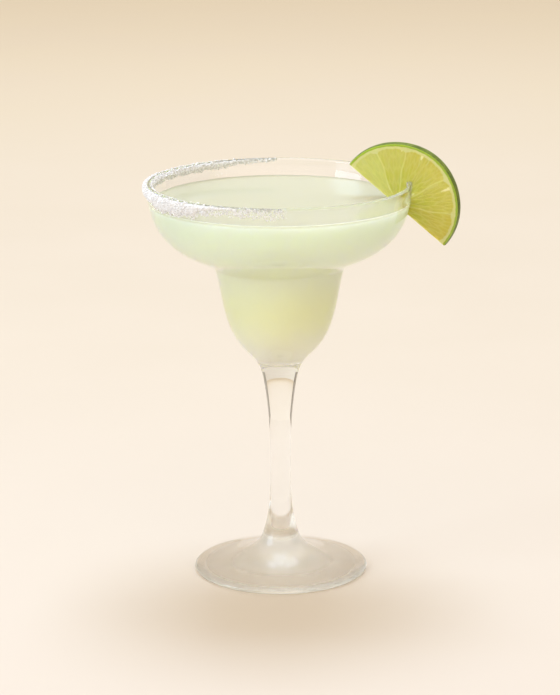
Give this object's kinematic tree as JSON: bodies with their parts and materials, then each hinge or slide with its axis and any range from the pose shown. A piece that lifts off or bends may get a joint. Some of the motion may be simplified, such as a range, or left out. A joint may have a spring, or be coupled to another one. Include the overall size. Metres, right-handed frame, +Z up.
{
  "type": "margarita cocktail",
  "caption": "Margarita cocktail: pale drink in a stemmed saucer-over-cup glass, half of the rim salted, a half wheel of lime hung on the rim.",
  "frame": {"origin": "on the glass's axis, at the plane that the foot rests on", "axes": "+Z up along the glass's axis; +X towards the lime, so that the salted half of the rim is on the -X side"},
  "size_m": [0.1363, 0.1159, 0.1905],
  "materials": {
    "clear_glass": "clear polished soda-lime glass",
    "cloudy_drink": "cloudy pale green liquid",
    "lime": "wet citrus flesh with pale pith and a thin green rind",
    "salt": "coarse moist salt crystals"
  },
  "bodies": {
    "root": {"glass": "clear_glass", "drink": "cloudy_drink", "lime_half_wheel": "lime", "salt_crust": "salt"}
  },
  "joints": []
}
